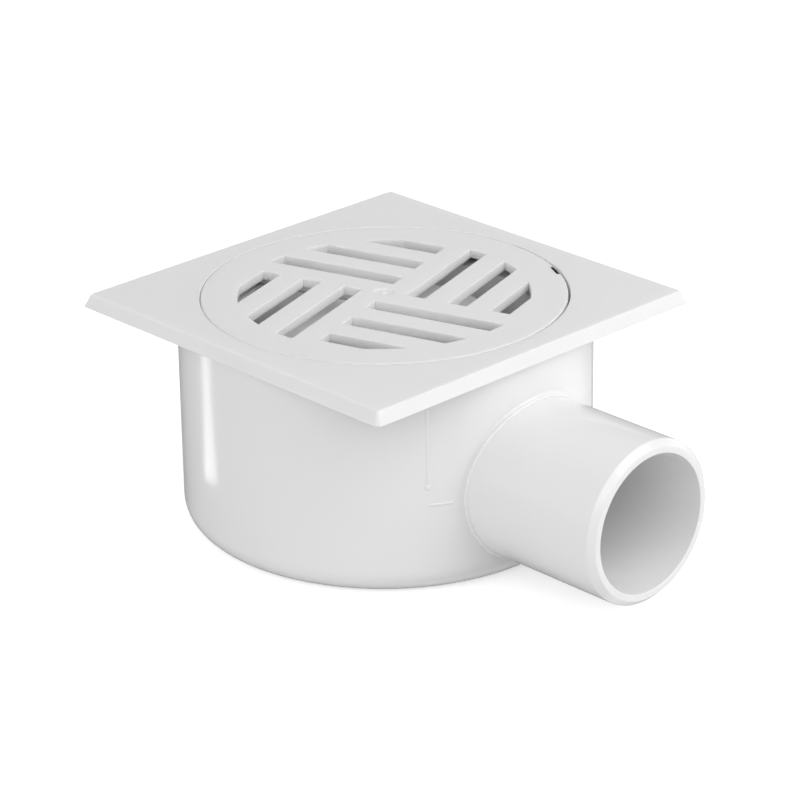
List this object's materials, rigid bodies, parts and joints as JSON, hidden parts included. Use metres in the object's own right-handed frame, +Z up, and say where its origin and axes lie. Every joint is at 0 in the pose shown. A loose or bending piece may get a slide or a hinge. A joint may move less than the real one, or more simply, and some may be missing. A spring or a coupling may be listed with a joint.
{
  "type": "shower drain",
  "caption": "Square shower floor drain with a round lift-out basket-weave grate, a cup-shaped sump with a horizontal outlet spigot, and a lift-out bell trap inside.",
  "frame": {"origin": "centre of the flat underside of the sump, on the axis of the round cup", "axes": "+Z up through the middle of the grate, +X along the outlet spigot, out of its mouth"},
  "size_m": [0.1379, 0.1032, 0.0568],
  "materials": {
    "body_plastic": "gloss moulded, white",
    "plate_plastic": "fine matt texture, white",
    "grate_plastic": "fine matt texture, white",
    "trap_plastic": "gloss moulded, white",
    "seal_rubber": "smooth black rubber"
  },
  "bodies": {
    "root": {"sump_body": "body_plastic", "grate_frame": "plate_plastic", "grate": "grate_plastic", "trap_cup": "trap_plastic", "trap_bell": "trap_plastic", "seal_ring": "seal_rubber"}
  },
  "joints": []
}
